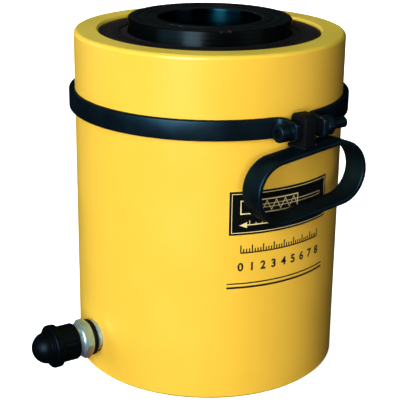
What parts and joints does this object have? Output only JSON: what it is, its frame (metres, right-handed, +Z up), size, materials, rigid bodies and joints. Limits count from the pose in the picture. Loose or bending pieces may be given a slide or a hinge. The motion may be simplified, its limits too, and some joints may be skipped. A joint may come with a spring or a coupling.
{
  "type": "hollow plunger cylinder",
  "caption": "Hollow plunger hydraulic cylinder with spring return, a lifting handle clamped to the barrel and a capped oil coupler.",
  "frame": {"origin": "centre of the rod hole at the base face", "axes": "+Z up along the rod hole towards the saddle, -Y towards the lifting handle, -X along the oil coupler"},
  "size_m": [0.2706, 0.2498, 0.2773],
  "materials": {
    "barrel_paint": "semi-gloss enamel with fine orange peel",
    "black_steel": "satin black oxide",
    "plunger_steel": "satin nitrided",
    "ground_steel": "ground and oiled",
    "spring_steel": "oiled",
    "clamp_paint": "gloss black enamel",
    "zinc_plate": "yellow passivated zinc",
    "seal_rubber": "smooth",
    "cap_rubber": "moulded matt",
    "backup_plastic": "machined",
    "bearing_plastic": "fabric reinforced",
    "plate_film": "satin printed film"
  },
  "bodies": {
    "barrel": {"cylinder_body": "barrel_paint", "center_tube": "ground_steel", "tube_o_ring": "seal_rubber", "gland_ring": "black_steel", "gland_bearing": "bearing_plastic", "rod_wiper": "seal_rubber", "return_spring": "spring_steel", "port_nipple": "zinc_plate", "port_seal": "seal_rubber", "coupler_body": "zinc_plate", "valve_stop": "ground_steel", "valve_spring": "spring_steel", "mouth_seal": "seal_rubber", "clamp_band": "clamp_paint", "clamp_bolt": "clamp_paint", "clamp_nut": "clamp_paint", "flat_washer": "clamp_paint", "lock_washer": "clamp_paint", "pivot_bush": "ground_steel", "name_plate": "plate_film"},
    "plunger": {"plunger": "plunger_steel", "saddle": "black_steel", "piston_wear_ring": "bearing_plastic", "piston_u_cup": "seal_rubber", "piston_backup_ring": "backup_plastic", "tube_wear_ring": "bearing_plastic", "tube_u_cup": "seal_rubber", "tube_backup_ring": "backup_plastic"},
    "handle": {"handle_knuckle": "clamp_paint", "handle_loop": "clamp_paint"},
    "coupler_valve": {"coupler_valve": "ground_steel"},
    "dust_cap": {"dust_cap": "cap_rubber"}
  },
  "joints": [
    {"name": "plunger_stroke", "type": "slide", "parent": "barrel", "child": "plunger", "axis": [0, 0, 1], "range_m": [0, 0.075], "stiffness_N_per_m": 8000, "springref_m": -0.02, "deforming": ["return_spring"]},
    {"name": "handle_swing", "type": "hinge", "parent": "barrel", "child": "handle", "pos_m": [0.00465, -0.12114, 0.2149], "axis": [-0.9993, -0.0384, 0], "range_deg": [-10, 150]},
    {"name": "coupler_valve_push", "type": "slide", "parent": "barrel", "child": "coupler_valve", "axis": [1, 0, 0], "range_m": [0, 0.004], "stiffness_N_per_m": 1500, "springref_m": -0.004, "deforming": ["valve_spring"]},
    {"name": "dust_cap_pull", "type": "slide", "parent": "barrel", "child": "dust_cap", "axis": [-1, 0, 0], "range_m": [0, 0.045]}
  ]
}
